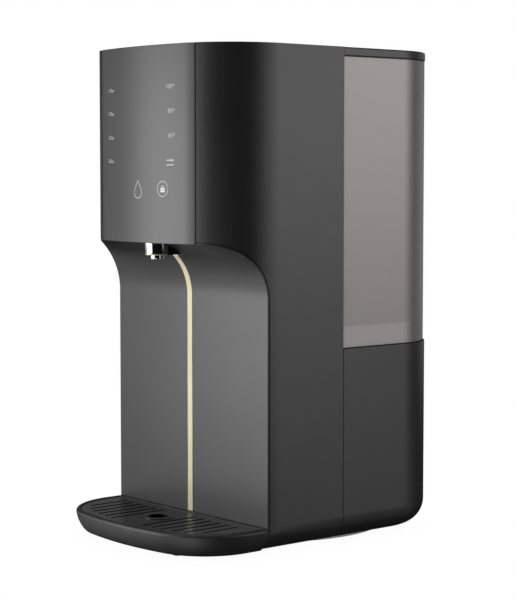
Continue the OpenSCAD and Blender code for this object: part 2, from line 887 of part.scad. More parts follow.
module pump_bracket() {
    color(chrome_grey) difference() {
        union() {
            translate([pump_x - motor_l, pump_y - motor_d / 2, bracket_z])
                cube([motor_l + pump_l, motor_d, plate_t]);
            for (x = saddle_x) translate([x, pump_y - motor_d / 3, bracket_z])
                cube([saddle_t, motor_d * 2 / 3, pump_z - bracket_z - motor_d / 4]);
        }
        translate([pump_x - motor_l - 1, pump_y, pump_z]) rotate([0, 90, 0])
            cylinder(d = motor_d + 2 * sliver, h = motor_l + 1);
    }
}

module pump_mounts() {
    color(rubber_black) for (x = mount_x, dy = [-mount_dy, mount_dy])
        translate([x, pump_y + dy, floor_z]) cylinder(d = mount_d, h = mount_h);
}

module pump_motor() {
    color(chrome_grey) translate([pump_x - motor_l, pump_y, pump_z]) rotate([0, 90, 0])
        cylinder(d = motor_d, h = motor_l);
}

// Pump head with its two ports on top
module pump_head() {
    color(graphite) difference() {
        union() {
            translate([pump_x, pump_y, pump_z]) rotate([0, 90, 0]) cylinder(d = pump_d, h = pump_l);
            for (x = pump_ports) translate([x, pump_y, pump_z])
                cylinder(d = tube_port_d, h = pump_port_z - pump_z);
        }
        for (x = pump_ports) translate([x, pump_y, pump_port_z - tube_seat])
            cylinder(d = tube_hole_d, h = tube_seat + 1);
    }
}

// Solenoid valve with its coil and its upper port
module solenoid_valve(x) {
    difference() {
        union() {
            translate([x - valve_body_w / 2, small_valve_front, floor_z])
                cube([valve_body_w, valve_body_l, valve_body_h]);
            translate([x, small_valve_front + valve_body_w / 2, floor_z])
                cylinder(d = coil_d, h = valve_body_h + coil_h);
            translate([x, valve_port_y, floor_z]) cylinder(d = tube_port_d, h = valve_port_z - floor_z);
        }
        translate([x, small_valve_front - 1, low_tube_z]) rotate([-90, 0, 0])
            cylinder(d = tube_hole_d, h = tube_seat + 1);
        translate([x, valve_port_y, valve_port_z - tube_seat]) cylinder(d = tube_hole_d, h = tube_seat + 1);
    }
}

module inlet_valve() {
    color(natural) solenoid_valve(-small_valve_x);
}

module flush_valve() {
    color(natural) solenoid_valve(small_valve_x);
}

module power_supply() {
    case_w = 34;
    case_l = 46;
    case_h = 62;
    color(chrome_grey) translate([half_w - bottom_r - heater_gap - case_w, valve_port_y + tube_rise, floor_z])
        cube([case_w, case_l, case_h]);
}

// Main circuit board on four posts behind the bulkhead
module control_board() {
    board_w = 130;
    board_h = 60;
    post = 4;
    board_low_z = deck_z - deck_t - board_h - 8;
    front = bulkhead_y + plate_t;
    color(board_green) {
        translate([-board_w / 2, front + post, board_low_z]) cube([board_w, board_t, board_h]);
        for (x = [-board_w / 2 + post, board_w / 2 - post], z = [post, board_h - post])
            translate([x, front, board_low_z + z]) rotate([-90, 0, 0])
                cylinder(d = post, h = post + board_t / 2);
    }
}

// Mains inlet for a removable cord, with three flat pins
module power_inlet() {
    lip = 2.5;
    pin_x = 7;
    pin_w = 2;
    pin_h = 4;
    pin_l = 10;
    color(rubber_black) translate([inlet_x, rear, inlet_z]) {
        difference() {
            union() {
                translate([-inlet_w / 2, -inlet_depth - lip, -inlet_h / 2])
                    cube([inlet_w, inlet_depth + lip, inlet_h]);
                translate([-inlet_w / 2 - lip, -wall - lip - fit, -inlet_h / 2 - lip])
                    cube([inlet_w + 2 * lip, lip, inlet_h + 2 * lip]);
            }
            translate([-inlet_w / 2 + lip, -inlet_depth, -inlet_h / 2 + lip])
                cube([inlet_w - 2 * lip, inlet_depth + 1, inlet_h - 2 * lip]);
        }
        for (x = [-pin_x, 0, pin_x]) {
            z = x == 0 ? 0 : -pin_h;
            translate([x - pin_w / 2, -inlet_depth - 1, z]) cube([pin_w, pin_l + 1, pin_h]);
        }
    }
}

// Tank seat, valve and float

// Cup under the deck that takes the tank's spigot, with the pin that lifts the poppet
module tank_socket() {
    flange_d = socket_d + 10;
    flow_d = 2.8;
    flow_x = stem_d / 2 + flow_d / 2 + 0.2;
    color(graphite) translate([0, valve_y, 0]) difference() {
        union() {
            translate([0, 0, socket_low_z]) cylinder(d = socket_d, h = deck_z - socket_low_z);
            translate([0, 0, deck_z - deck_t - fit - plate_t]) cylinder(d = flange_d, h = plate_t);
            translate([0, 0, socket_low_z - socket_stub_l]) cylinder(d = tube_port_d, h = socket_stub_l + 1);
        }
        difference() {
            translate([0, 0, socket_low_z + 3]) cylinder(d = spigot_d + 2 * fit, h = beyond);
            cylinder(d = stem_d, h = pin_top_z);
        }
        translate([0, 0, socket_low_z - socket_stub_l - 1]) cylinder(d = tube_hole_d, h = tube_seat + 1);
        translate([flow_x, 0, socket_low_z - socket_stub_l + 1]) cylinder(d = flow_d, h = socket_stub_l + 3);
        translate([0, 0, socket_seal_z - seal_d / 2 - sliver])
            cylinder(d = spigot_d + 2 * fit + 2 * seal_d, h = seal_d + 2 * sliver);
    }
}

module socket_seal() {
    color(rubber_black) translate([0, valve_y, socket_seal_z]) rotate_extrude()
        translate([spigot_d / 2 + fit + seal_d / 2, 0]) circle(d = seal_d - sliver);
}

// Tubes

// Tank socket to the inlet valve
module feed_tube() {
    color(natural) tube([
        [0, valve_y, socket_low_z - socket_stub_l + tube_seat],
        [0, valve_y, feed_tube_z],
        [-small_valve_x, valve_y, feed_tube_z],
        [-small_valve_x, valve_port_y, feed_tube_z],
        [-small_valve_x, valve_port_y, valve_port_z - tube_seat]
    ]);
}

// Short tube through the bulkhead between the manifold and a valve
module bulkhead_tube(x) {
    tube([[x, manifold_back - tube_seat, low_tube_z], [x, small_valve_front + tube_seat, low_tube_z]]);
}

// Inlet valve to the carbon cartridge
module raw_tube() {
    color(natural) bulkhead_tube(-small_valve_x);
}

// Membrane cartridge to the flush valve
module brine_tube() {
    color(natural) bulkhead_tube(small_valve_x);
}

// Tube between the manifold and one of the pump's ports
module pump_tube(x) {
    tube([
        [x, manifold_back - tube_seat, low_tube_z],
        [x, rise_tube_y, low_tube_z],
        [x, rise_tube_y, cross_tube_z],
        [x, pump_y, cross_tube_z],
        [x, pump_y, pump_port_z - tube_seat]
    ]);
}

module suction_tube() {
    color(natural) pump_tube(pump_ports[0]);
}

module pressure_tube() {
    color(natural) pump_tube(pump_ports[1]);
}

// Membrane cartridge to the buffer tank, up between the cartridges
module pure_tube() {
    color(natural) tube([
        [0, filter_y, manifold_top - tube_seat],
        [0, filter_y, pure_tube_z],
        [0, buffer_back - wall, pure_tube_z]
    ]);
}

// Heater to the outlet block
module outlet_tube() {
    color(natural) tube([
        [heater_x - heater_d / 2 + tube_seat, heater_y, outlet_tube_z],
        [0, heater_y, outlet_tube_z],
        [0, heater_y, head_floor_top + plate_t - tube_seat]
    ]);
}

// Tank

module water_tank() {
    inner = tank_inset + tank_wall;
    grip_front = rear - tank_inset - grip_d;
    color(smoke) difference() {
        union() {
            difference() {
                rear_block(tank_inset, tank_front, tank_z, tank_rim_z);
                rear_block(inner, tank_front + tank_wall, tank_floor_z, tank_rim_z + 1);
                rear_block(inner, tank_front + tank_wall, tank_z - 1, tank_floor_z - tank_floor_t);
            }
            translate([-grip_half_w - tank_wall, grip_front - tank_wall, grip_top_z - grip_h - tank_wall])
                cube([2 * grip_half_w + 2 * tank_wall, grip_d + tank_wall, grip_h + 2 * tank_wall]);
        }
        translate([-grip_half_w, grip_front, grip_top_z - grip_h])
            cube([2 * grip_half_w, grip_d + 1, grip_h]);
        translate([0, valve_y, tank_z]) cylinder(d = spigot_d + 2 * running, h = skirt_h + 1);
    }
}

// Valve insert through the tank's floor
module tank_valve() {
    color(natural) translate([0, valve_y, 0]) difference() {
        union() {
            translate([0, 0, spigot_low_z]) cylinder(d = spigot_d, h = tank_floor_z - spigot_low_z + 1);
            translate([0, 0, tank_floor_z]) cylinder(d = valve_flange_d, h = plate_t);
        }
        translate([0, 0, seat_z]) cylinder(d = valve_bore, h = beyond);
        translate([0, 0, spigot_low_z - 1]) cylinder(d = seat_hole, h = beyond);
    }
}

// Cap that guides the poppet's upper stem
module valve_cap() {
    cap_t = 2.5;
    hole_d = 2.6;
    color(natural) translate([0, valve_y, cap_z]) difference() {
        cylinder(d = valve_bore - 2 * sliver, h = cap_t);
        translate([0, 0, -1]) cylinder(d = stem_d + 2 * running, h = cap_t + 2);
        for (a = [0 : 60 : 300]) rotate(a) translate([valve_bore / 3, 0, -1])
            cylinder(d = hole_d, h = cap_t + 2);
    }
}

// Poppet held open by the socket's pin while the tank is seated
module valve_poppet() {
    color(rubber_black) translate([0, valve_y, 0]) {
        translate([0, 0, poppet_z]) cylinder(d = valve_bore - 2, h = poppet_t);
        translate([0, 0, pin_top_z + fit]) cylinder(d = stem_d, h = cap_z + 5 - pin_top_z);
    }
}

// Points of one ring of the spring's wire
function spring_ring(i) =
    let (
        n = spring_turns * spring_steps,
        a = 360 * i / spring_steps,
        z = spring_low_z + spring_wire / 2 + (spring_high_z - spring_low_z - spring_wire) * i / n
    )
    [for (k = [0 : spring_sides - 1])
        let (b = 360 * k / spring_sides, r = spring_r + spring_wire / 2 * cos(b))
        [r * cos(a), r * sin(a), z + spring_wire / 2 * sin(b)]];

module poppet_spring() {
    n = spring_turns * spring_steps;
    m = spring_sides;
    points = [for (i = [0 : n]) each spring_ring(i)];
    walls = [for (i = [0 : n - 1], k = [0 : m - 1])
        let (p = i * m + k, q = i * m + (k + 1) % m)
        each [[p, p + m, q], [q, p + m, q + m]]];
    low_end = [for (k = [1 : m - 2]) [0, k, k + 1]];
    high_end = [for (k = [1 : m - 2]) [n * m, n * m + k + 1, n * m + k]];
    color(chrome_grey) translate([0, valve_y, 0]) polyhedron(points, concat(walls, low_end, high_end));
}

// Stem and stop for the level float
module float_guide() {
    stop_t = 2;
    color(natural) translate([float_x, float_y, tank_floor_z]) {
        cylinder(d = float_stem_d, h = float_h + float_travel + 2 * fit + stop_t);
        translate([0, 0, float_h + float_travel + 2 * fit]) cylinder(d = 2 * float_stem_d, h = stop_t);
    }
}

module level_float() {
    color("#5d7f9a") translate([float_x, float_y, float_low_z]) difference() {
        cylinder(d = float_d, h = float_h);
        translate([0, 0, -1]) cylinder(d = float_stem_d + 2 * fit, h = float_h + 2);
    }
}

// Lid

module tank_lid() {
    lip_out = tank_inset + tank_wall + fit;
    lip_front = tank_front + tank_wall + fit;
    lip_t = 2;
    color(black) difference() {
        union() {
            rear_block(lid_inset, tank_front, lid_z, body_h, 0, top_edge_r);
            rear_block(lip_out, lip_front, lid_z - lid_lip, lid_z + 1);
        }
        rear_block(lip_out + lip_t, lip_front + lip_t, lid_z - lid_lip - 1, body_h - lid_t);
    }
}

// Sealing ring on the lid's underside, over the tank's rim
module lid_gasket() {
    edge = 0.4;
    inner = tank_wall + fit - sliver;
    color(rubber_black) difference() {
        rear_block(tank_inset + edge, tank_front + edge, lid_z - gasket_t + running, lid_z);
        rear_block(tank_inset + inner, tank_front + inner, lid_z - gasket_t - 1, lid_z + 1);
    }
}

// Drip tray

// Tongue that guides the tray under the column
module tongue(grow, reach) {
    translate([-tongue_w / 2 - grow, tray_back - 2, tongue_z - grow])
        cube([tongue_w + 2 * grow, 2 + reach, tongue_h + 2 * grow]);
}

module drip_tray() {
    ledge = 2;
    inner = tray_rim + ledge;
    color(black) difference() {
        union() {
            tray_form();
            for (side = [-1, 1]) translate([side * tongue_x, 0, 0]) tongue(0, tongue_l);
        }
        tray_slice(tray_rim, grille_z - fit, tray_top + 1, tray_back - tray_rim);
        tray_slice(inner, tray_step_z, tray_top, tray_back - inner);
        tray_slice(inner + ledge, tray_floor, tray_step_z + sliver, tray_back - inner);
    }
}

module tray_feet() {
    color(rubber_black) for (side = [-1, 1], p = tray_feet_spots) translate([side * p.x, p.y, 0])
        cylinder(d = tray_foot_d, h = tray_foot_h);
}

// Front end of a slot, following the grille's bowed edge
function slot_front(x) =
    let (
        r = front_arc_r - grille_inset - grille_border,
        rc = tray_corner_r - grille_inset - grille_border,
        w = tray_w - 2 * (grille_inset + grille_border),
        front = tray_front + grille_inset + grille_border,
        cx = w / 2 - rc,
        cy = front_corner_y(w, front, r, rc),
        bend_x = r * cx / (r - rc)
    )
    abs(x) < bend_x ? front + r - sqrt(r * r - x * x) : cy - sqrt(max(0, rc * rc - pow(abs(x) - cx, 2)));

module drip_grille() {
    first = drain_d / 2 + drain_ring + slot_pitch / 2 + slot_w / 2;
    ring_r = drain_d / 2 + drain_ring;
    ring_h = 0.6;
    slot_back = grille_back - grille_border;
    color(black) difference() {
        union() {
            tray_slice(grille_inset, grille_z, tray_top - ring_h, grille_back);
            translate([0, outlet_y, grille_z]) cylinder(r = ring_r, h = grille_t);
        }
        translate([0, outlet_y, grille_z - 1]) cylinder(d = drain_d, h = grille_t + 2);
        for (side = [-1, 1], i = [0 : slots_side - 1]) {
            x = side * (first + i * slot_pitch);
            translate([x - slot_w / 2, slot_front(x), grille_z - 1])
                cube([slot_w, slot_back - slot_front(x), grille_t + 2]);
        }
    }
}

left_side_panel();
right_side_panel();
front_panel();
recess_panel();
accent_strip();
top_cover();
bulkhead();
base_plate();
rear_housing();
foot_pad();
base_screws();
outlet_block();
outlet_sleeve();
spout();
head_floor();
light_frame();
display_board();
buffer_tank();
heater();
filter_manifold();
filter_guide();
carbon_cartridge();
carbon_seal();
membrane_cartridge();
membrane_seal();
pump_bracket();
pump_mounts();
pump_motor();
pump_head();
inlet_valve();
flush_valve();
power_supply();
control_board();
power_inlet();
tank_socket();
socket_seal();
feed_tube();
raw_tube();
suction_tube();
pressure_tube();
brine_tube();
pure_tube();
outlet_tube();
water_tank();
tank_valve();
valve_cap();
valve_poppet();
poppet_spring();
float_guide();
level_float();
tank_lid();
lid_gasket();
drip_tray();
tray_feet();
drip_grille();
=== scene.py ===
import json
from math import acos, cos, radians, sin, sqrt

import bmesh
import bpy
from mathutils import Matrix, Vector


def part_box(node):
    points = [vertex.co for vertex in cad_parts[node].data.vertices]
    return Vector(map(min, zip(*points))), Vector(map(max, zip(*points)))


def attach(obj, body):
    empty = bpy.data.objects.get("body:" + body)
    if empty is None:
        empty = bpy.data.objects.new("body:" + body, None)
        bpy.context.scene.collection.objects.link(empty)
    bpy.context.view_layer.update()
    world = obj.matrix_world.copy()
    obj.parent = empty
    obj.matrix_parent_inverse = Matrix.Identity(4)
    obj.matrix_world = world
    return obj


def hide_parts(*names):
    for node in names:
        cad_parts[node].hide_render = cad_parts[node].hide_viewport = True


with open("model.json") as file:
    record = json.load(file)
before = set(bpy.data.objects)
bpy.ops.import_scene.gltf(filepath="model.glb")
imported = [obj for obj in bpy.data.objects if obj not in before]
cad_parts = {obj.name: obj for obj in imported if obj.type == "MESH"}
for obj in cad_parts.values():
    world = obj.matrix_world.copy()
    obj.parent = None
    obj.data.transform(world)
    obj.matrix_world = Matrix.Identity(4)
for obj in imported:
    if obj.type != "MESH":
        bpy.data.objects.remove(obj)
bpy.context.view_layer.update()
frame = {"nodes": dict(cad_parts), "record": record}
nodes = frame["nodes"]
bodyOf = {n: b for b, members in frame["record"]["behaviour"]["bodies"].items() for n in members}
slotOf = {s["node"]: s["material_slot"] for s in frame["record"]["subparts"]}
scene = bpy.context.scene
mm = 0.001
origin = (0, 0, 0)


# sRGB hex to the linear colour that the shaders take
def linear(hexColour):
    parts = [int(hexColour[i:i + 2], 16) / 255 for i in (1, 3, 5)]
    return tuple(c / 12.92 if c <= 0.04045 else ((c + 0.055) / 1.055) ** 2.4 for c in parts) + (1.0,)


# sets a node's values and links its inputs from (node, output) pairs
def setNode(tree, node, values=None, links=None):
    for key, value in (values or {}).items():
        node.inputs[key].default_value = value
    for key, (source, output) in (links or {}).items():
        tree.links.new(source.outputs[output], node.inputs[key])


def addNode(tree, kind, values=None, links=None, **settings):
    node = tree.nodes.new(kind)
    for key, value in settings.items():
        setattr(node, key, value)
    setNode(tree, node, values, links)
    return node


def newMaterial(name):
    material = bpy.data.materials.new(name)
    material.use_nodes = True
    tree = material.node_tree
    return material, tree, tree.nodes["Principled BSDF"]


# noise that reads Object coordinates, with its grain given in millimetres
def grainOf(tree, grain, detail=2.0, stretch=(1, 1, 1)):
    place = addNode(tree, "ShaderNodeTexCoord")
    spread = addNode(tree, "ShaderNodeMapping", {"Scale": stretch}, {"Vector": (place, "Object")})
    return addNode(tree, "ShaderNodeTexNoise", {"Scale": 1 / (grain * mm), "Detail": detail},
                   {"Vector": (spread, "Vector")})


# what moulded finishes share: the size of their colour's drift in millimetres and the ends of its ramp,
# the grain's detail, how far it spreads the roughness, and how strongly it stands out
mould = {"drift": 60.0, "ramp": (0.35, 0.65), "detail": 3.0, "spread": (-0.05, 0.06), "relief": 0.35}


# moulded plastic: a fine eroded grain breaks up the gloss, and the colour drifts a little over the shell
# the mould's grain is about 0.1 mm, drawn several times coarser so that it shows
def mouldedPlastic(name, dark, light, rough, grain=0.7, depth=0.02, ior=1.53):
    material, tree, shader = newMaterial(name)
    drift = grainOf(tree, mould["drift"])
    tint = addNode(tree, "ShaderNodeValToRGB", None, {"Fac": (drift, "Fac")})
    for stop, place, colour in zip(tint.color_ramp.elements, mould["ramp"], (dark, light)):
        stop.position = place
        stop.color = linear(colour)
    fine = grainOf(tree, grain, mould["detail"])
    smoother, rougher = (rough + spread for spread in mould["spread"])
    gloss = addNode(tree, "ShaderNodeMapRange", {"To Min": smoother, "To Max": rougher},
                    {"Value": (fine, "Fac")})
    bump = addNode(tree, "ShaderNodeBump", {"Strength": mould["relief"], "Distance": depth * mm},
                   {"Height": (fine, "Fac")})
    setNode(tree, shader, {"IOR": ior}, {"Base Color": (tint, "Color"), "Roughness": (gloss, "Result"),
                                         "Normal": (bump, "Normal")})
    return material


metalRelief = 0.15  # how strongly a metal's grain stands out


# bare metal: no diffuse colour, its look is what it mirrors, softened by a fine grain that a stretch
# draws out into lines
def metal(name, colour, rough, grain=0.4, stretch=(1, 1, 1), depth=0.004, spread=0.045):
    material, tree, shader = newMaterial(name)
    lines = grainOf(tree, grain, stretch=stretch)
    gloss = addNode(tree, "ShaderNodeMapRange", {"To Min": rough - spread, "To Max": rough + spread},
                    {"Value": (lines, "Fac")})
    bump = addNode(tree, "ShaderNodeBump", {"Strength": metalRelief, "Distance": depth * mm},
                   {"Height": (lines, "Fac")})
    setNode(tree, shader, {"Base Color": linear(colour), "Metallic": 1.0},
            {"Roughness": (gloss, "Result"), "Normal": (bump, "Normal")})
    return material


# smoked styrene, moulded with a frosted inner face: light comes through grey and blurred
# its colour carries painted shade: darker towards the foot and darker still round the rear corners, and its
# base under the floor is paler
# in millimetres: how high the painted shade at the foot fades out, between which depths from the rear and
# widths from the middle the painted shade at the rear corners deepens, how high the floor lies and how soft
# its edge is, and the grain of the frost
smokeAndShade = {
    "clear": "#f2e8e4", "deep": "#c9c1be", "corner": "#948e8b", "base": "#e2dad7",
    "height": 230.0, "fromRear": (58.0, 42.0), "fromMiddle": (36.0, 60.0), "floor": 17.5, "blur": 0.8,
    "frost": 0.8, "detail": 3.0, "rough": (0.34, 0.44), "through": 0.3, "ior": 1.49,
}
mixShare, mixFirst, mixSecond, mixResult = 0, 6, 7, 2  # a colour Mix node's sockets, whose names repeat


def smokedStyrene():
    material, tree, shader = newMaterial("smokedStyrene")
    low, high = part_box("water_tank")
    foot, rear = low[2], high[1]
    frost = grainOf(tree, smokeAndShade["frost"], smokeAndShade["detail"])
    smoother, rougher = smokeAndShade["rough"]
    gloss = addNode(tree, "ShaderNodeMapRange", {"To Min": smoother, "To Max": rougher},
                    {"Value": (frost, "Fac")})
    spot = addNode(tree, "ShaderNodeTexCoord")
    place = addNode(tree, "ShaderNodeSeparateXYZ", None, {"Vector": (spot, "Object")})
    rise = addNode(tree, "ShaderNodeMapRange",
                   {"From Min": foot, "From Max": foot + smokeAndShade["height"] * mm}, {"Value": (place, "Z")})
    turnStart, turnEnd = (rear - depth * mm for depth in smokeAndShade["fromRear"])
    turn = addNode(tree, "ShaderNodeMapRange", {"From Min": turnStart, "From Max": turnEnd},
                   {"Value": (place, "Y")}, interpolation_type="SMOOTHSTEP")
    across = addNode(tree, "ShaderNodeMath", None, {0: (place, "X")}, operation="ABSOLUTE")
    sideStart, sideEnd = (width * mm for width in smokeAndShade["fromMiddle"])
    side = addNode(tree, "ShaderNodeMapRange", {"From Min": sideStart, "From Max": sideEnd},
                   {"Value": (across, "Value")}, interpolation_type="SMOOTHSTEP")
    # painted shade: a mask that darkens the rear corners
    corner = addNode(tree, "ShaderNodeMath", None, {0: (turn, "Result"), 1: (side, "Result")},
                     operation="MULTIPLY")
    base = addNode(tree, "ShaderNodeMapRange",
                   {"From Min": foot + (smokeAndShade["floor"] + smokeAndShade["blur"]) * mm,
                    "From Max": foot + (smokeAndShade["floor"] - smokeAndShade["blur"]) * mm}, {"Value": (place, "Z")})
    # painted shade: darker towards the foot, paling up to the top
    paintedHeightShade = addNode(tree, "ShaderNodeMix",
                   {mixFirst: linear(smokeAndShade["deep"]), mixSecond: linear(smokeAndShade["clear"])},
                   {mixShare: (rise, "Result")}, data_type="RGBA")
    withBase = addNode(tree, "ShaderNodeMix", {mixSecond: linear(smokeAndShade["base"])},
                       {mixShare: (base, "Result"), mixFirst: (paintedHeightShade, mixResult)}, data_type="RGBA")
    tint = addNode(tree, "ShaderNodeMix", {mixSecond: linear(smokeAndShade["corner"])},
                   {mixShare: (corner, "Value"), mixFirst: (withBase, mixResult)}, data_type="RGBA")
    setNode(tree, shader, {"Transmission Weight": smokeAndShade["through"], "IOR": smokeAndShade["ior"]},
            {"Base Color": (tint, mixResult), "Roughness": (gloss, "Result")})
    return material


finishes = {
    # outside: dark satin shells, a smoother and paler touch panel, a near-black grille, a rougher tray
    # and a pale matt foot pad
    "shell": mouldedPlastic("charcoalAbs", "#202021", "#242425", 0.40),
    "panel": mouldedPlastic("satinCharcoalAbs", "#29292a", "#2d2d2e", 0.36, 0.5, 0.008),
    "grille": mouldedPlastic("satinBlackAbs", "#111112", "#161617", 0.30, 0.6, 0.01, 1.46),
    "tray": mouldedPlastic("texturedBlackAbs", "#1c1c1d", "#202021", 0.50, 0.9, 0.03),
    "pad": mouldedPlastic("greyRubber", "#bcbcbd", "#c6c6c7", 0.7, 0.9, 0.05),
    "accent": mouldedPlastic("champagneLacquer", "#d2c5a3", "#dbcfaf", 0.34, 0.4, 0.004),  # warm and even
    "chrome": metal("polishedChrome", "#e4e4e6", 0.04, depth=0.0005, spread=0.01),  # a clear mirror
    "tank": smokedStyrene(),
    # inside: matt chassis and rubber, milky fittings and tubes, dull metals, a green board and a blue float
    "chassis": mouldedPlastic("blackAbs", "#1c1c1e", "#222224", 0.55),
    "natural": mouldedPlastic("naturalPolypropylene", "#dcdad2", "#e6e4dd", 0.48),
    "tube": mouldedPlastic("whitePolyethylene", "#dedcd6", "#e9e8e3", 0.36, 1.2),
    "rubber": mouldedPlastic("mouldedRubber", "#151515", "#1c1c1c", 0.72, 0.9, 0.05),
    "steel": metal("zincPlatedSteel", "#b9babd", 0.3, 0.8),
    "case": metal("pressedAluminium", "#b4b5b8", 0.36, 0.8, (1, 1, 0.1)),
    "board": mouldedPlastic("solderMask", "#14492f", "#1b5a39", 0.3, 1.5),
    "float": mouldedPlastic("foamedPolypropylene", "#4f7390", "#5b81a0", 0.62, 1.2, 0.05),
    # screen inks: flat and matt, in three strengths
    "numbers": mouldedPlastic("greyScreenInk", "#b0b0b0", "#bababa", 0.5, 0.3, 0.004),
    "outlines": mouldedPlastic("paleScreenInk", "#c2c2c1", "#cdcdcc", 0.5, 0.3, 0.004),
    "lock": mouldedPlastic("whiteScreenInk", "#eaeae9", "#f2f2f1", 0.5, 0.3, 0.004),
}
for nodeName, cadNode in nodes.items():
    cadNode.data.materials.clear()
    cadNode.data.materials.append(finishes[slotOf[nodeName]])
print("materials", len(finishes))


def addObject(name, data):
    item = bpy.data.objects.new(name, data)
    scene.collection.objects.link(item)
    return item


# links a finished mesh, places it in the tree of bodies and hides the nodes that it stands for
def addPiece(name, mesh, finish, body, slot, *replaced):
    piece = addObject(name, mesh)
    mesh.materials.clear()
    mesh.materials.append(finishes[finish])
    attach(piece, body)
    if replaced:
        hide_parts(*replaced)
    return piece


smoothAngle = 38  # degrees up to which faces are shaded as one surface


def meshFrom(bm, name):
    mesh = bpy.data.meshes.new(name)
    bm.to_mesh(mesh)
    bm.free()
    mesh.shade_smooth()
    mesh.set_sharp_from_angle(angle=radians(smoothAngle))
    return mesh


# rounds edges by a width in millimetres
def roundEdges(bm, edges, width, segments):
    bmesh.ops.bevel(bm, geom=edges, offset=width * mm, affect="EDGES", segments=segments, profile=0.5,
                    material=-1, clamp_overlap=True)


def turnShape(bm, degrees, axis):
    bmesh.ops.rotate(bm, verts=bm.verts, cent=origin, matrix=Matrix.Rotation(radians(degrees), 3, axis))


def allOf(bm):
    return bm.verts[:] + bm.edges[:] + bm.faces[:]


# shells: each keeps its construction's form, gets moulded edges, and is shaded as one smooth surface
# edges in millimetres, and a finish where it isn't that of the slot
shells = {
    "leftSidePanel": {"node": "left_side_panel", "edge": 0.18},
    "rightSidePanel": {"node": "right_side_panel", "edge": 0.18},
    "touchPanel": {"node": "front_panel", "edge": 0.6},
    "recessPanel": {"node": "recess_panel", "edge": 0.1},
    "accentStrip": {"node": "accent_strip", "edge": 0.25},
    "topCover": {"node": "top_cover", "edge": 0.6},
    "rearHousing": {"node": "rear_housing", "edge": 0.45},
    "waterTank": {"node": "water_tank", "edge": 0.5},
    "tankLid": {"node": "tank_lid", "edge": 0.4},
    "dripTray": {"node": "drip_tray", "edge": 0.5, "finish": "tray"},
    "dripGrille": {"node": "drip_grille", "edge": 0.5},
    "outletBlock": {"node": "outlet_block", "edge": 0.6},
    "outletSleeve": {"node": "outlet_sleeve", "edge": 0.7},
    "spoutTip": {"node": "spout", "edge": 0.6},
    "mainsInlet": {"node": "power_inlet", "edge": 0.4},
    "footPad": {"node": "foot_pad", "edge": 0.8, "finish": "pad"},
    "trayFeet": {"node": "tray_feet", "edge": 0.8},
}
# points this close in millimetres are merged, faces this flat in degrees joined, and sharper edges rounded
shellWork = {"merge": 0.002, "flat": 0.4, "sharp": 32, "segments": 3}


def dressShell(name, spec):
    node = spec["node"]
    bm = bmesh.new()
    bm.from_mesh(nodes[node].data)
    bmesh.ops.remove_doubles(bm, verts=bm.verts, dist=shellWork["merge"] * mm)
    bmesh.ops.dissolve_limit(bm, angle_limit=radians(shellWork["flat"]), verts=bm.verts, edges=bm.edges)
    limit = radians(shellWork["sharp"])
    sharp = [e for e in bm.edges if e.is_manifold and e.calc_face_angle() > limit]
    roundEdges(bm, sharp, spec["edge"], shellWork["segments"])
    finish = spec.get("finish", slotOf[node])
    piece = addPiece(name, meshFrom(bm, name), finish, bodyOf[node], slotOf[node], node)
    weighted = piece.modifiers.new("evenShade", "WEIGHTED_NORMAL")
    weighted.keep_sharp = True


for shellName, shellSpec in shells.items():
    dressShell(shellName, shellSpec)
print("shells", len(shells))

# printing on the touch panel, in millimetres: across from its middle and down from its top
# merge is how close two points become one, and near how close a point counts as on a line
printing = {
    "bow": 305.0, "ink": 0.06, "line": 0.6, "spacing": 1.08, "merge": 0.001, "near": 0.0001,
    "amounts": {"size": 4.2, "left": -48.4, "rows": {"150": 34.1, "250": 53.1, "350": 72.5, "500": 91.6}},
    "ticks": {"count": 3, "pitch": 1.0, "size": (0.55, 1.7), "gap": 0.8, "drop": 0.4},
    "heats": {"size": 5.0, "right": 39.8, "rows": {"100": 33.3, "80": 52.5, "45": 71.9}},
    "degree": {"radius": 0.95, "line": 0.4, "gap": 1.4, "rise": 1.0, "sides": 24},
    "bars": {"across": 36.9, "down": (91.0, 94.6), "size": (8.4, 1.0), "parts": 4},
    "drop": {"across": -2.8, "down": 114.0, "size": (7.2, 7.4), "taper": 1.4, "point": 0.5, "sides": 64},
    "ring": {"across": 28.3, "down": 113.6, "radius": 6.3, "sides": 64},
    "lock": {"body": (4.8, 3.4), "shackle": 1.7, "rise": 1.8, "hole": 1.25, "lower": 0.9, "sides": 32},
}
panelLow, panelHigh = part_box("front_panel")


# flat ink gets its thickness, stands up facing the front and follows the panel's bow
def layInk(bm, across, down):
    bow = printing["bow"] * mm
    bmesh.ops.recalc_face_normals(bm, faces=bm.faces)
    bm.faces.ensure_lookup_table()
    if bm.faces[0].normal.z < 0:
        bmesh.ops.reverse_faces(bm, faces=bm.faces)
    bmesh.ops.solidify(bm, geom=bm.faces[:], thickness=-printing["ink"])
    bmesh.ops.recalc_face_normals(bm, faces=bm.faces)
    if bm.calc_volume(signed=True) < 0:  # a sharp point can turn a shape inside out
        bmesh.ops.reverse_faces(bm, faces=bm.faces)
    bmesh.ops.scale(bm, vec=(mm, mm, mm), verts=bm.verts)
    turnShape(bm, 90, "X")  # upright
    bmesh.ops.translate(bm, verts=bm.verts, vec=(across * mm, panelLow[1], panelHigh[2] - down * mm))
    for v in bm.verts:
        v.co.y += bow - sqrt(bow * bow - v.co.x * v.co.x)
    return bm


# outline of a flat shape: its middle is cut out
def outlineOf(bm, line):
    faces = list(bm.faces)
    bmesh.ops.inset_region(bm, faces=faces, thickness=line, use_boundary=True, use_even_offset=True)
    bmesh.ops.delete(bm, geom=faces, context="FACES_ONLY")


def roundOutline(radius, line, sides):
    bm = bmesh.new()
    bmesh.ops.create_circle(bm, cap_ends=True, segments=sides, radius=radius)
    outlineOf(bm, line)
    return bm


def bar(width, height, parts=1):
    bm = bmesh.new()
    bmesh.ops.create_grid(bm, x_segments=parts, y_segments=1, size=0.5)  # one by one
    bmesh.ops.scale(bm, vec=(width, height, 1), verts=bm.verts)
    return bm


